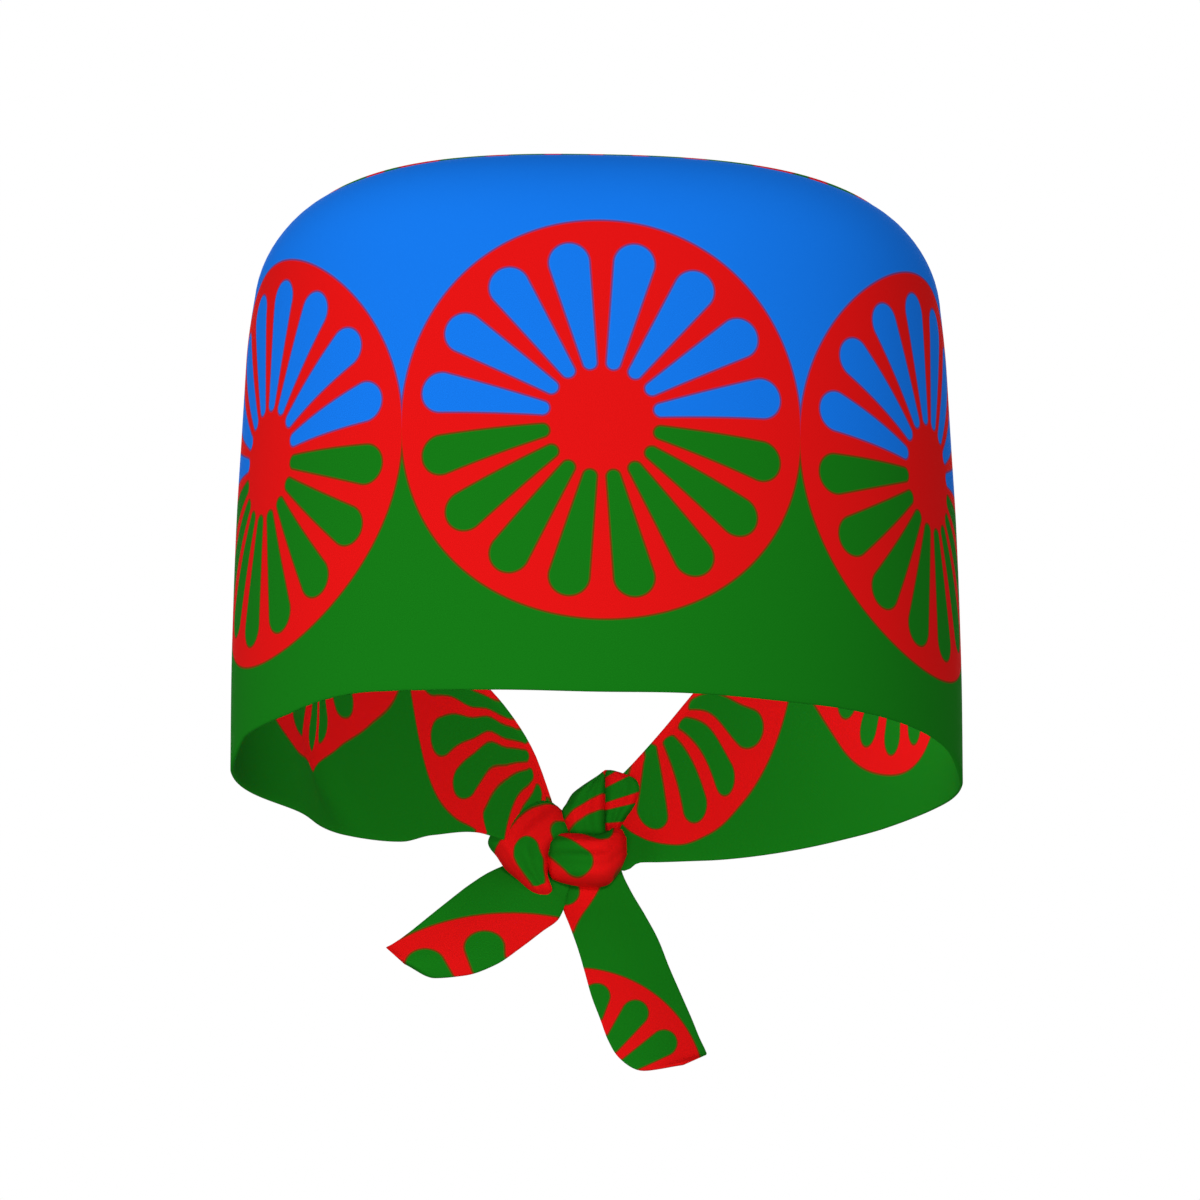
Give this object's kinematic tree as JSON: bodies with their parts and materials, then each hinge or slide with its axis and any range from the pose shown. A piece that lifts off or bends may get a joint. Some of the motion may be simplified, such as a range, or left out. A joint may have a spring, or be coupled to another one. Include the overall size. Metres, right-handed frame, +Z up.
{
  "type": "tie-back scrub cap",
  "caption": "Printed cloth scrub cap with a tall band, an oval crown panel and two rear wings knotted at the back, open below for the head.",
  "frame": {"origin": "centre of the head opening, in the plane of the front hem", "axes": "+Z up through the crown, the front of the cap faces -Y, the knot is at +Y, +X is the right side seen from the front"},
  "size_m": [0.1683, 0.2123, 0.1755],
  "materials": {
    "printed_cloth": "matte woven polyester-cotton poplin, printed blue over green with red spoked wheels"
  },
  "bodies": {
    "root": {"side_band": "printed_cloth", "top_panel": "printed_cloth", "knot_right_wrap": "printed_cloth", "knot_left_wrap": "printed_cloth", "knot_upper_fold": "printed_cloth", "knot_side_fold": "printed_cloth", "left_tail": "printed_cloth", "right_tail": "printed_cloth"}
  },
  "joints": []
}
